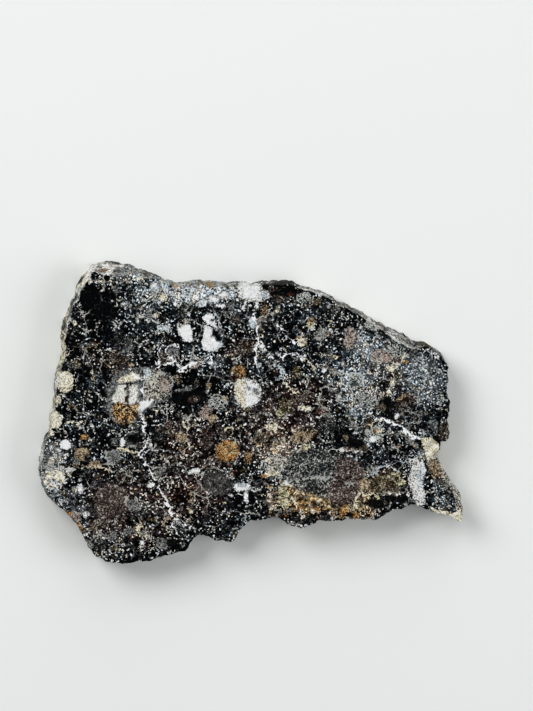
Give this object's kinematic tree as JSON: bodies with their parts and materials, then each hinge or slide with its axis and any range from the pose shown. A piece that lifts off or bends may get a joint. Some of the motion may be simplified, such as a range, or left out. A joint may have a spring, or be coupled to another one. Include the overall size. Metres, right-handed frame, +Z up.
{
  "type": "aubrite meteorite slice",
  "caption": "Thin sawn slice of a dark brecciated meteorite with pale clasts, white veins and a weathered rim, lying flat on its back face.",
  "frame": {"origin": "middle of the bounding box's base, on the sawn back face that the slice rests on", "axes": "+X along the slice's length, +Y across it, +Z up out of the display face"},
  "size_m": [0.077, 0.0544, 0.006],
  "materials": {
    "meteorite_stone": "sawn breccia with a satin sheen, black matrix with pale clasts, and a dull weathered rim"
  },
  "bodies": {
    "root": {"meteorite_slice": "meteorite_stone"}
  },
  "joints": []
}
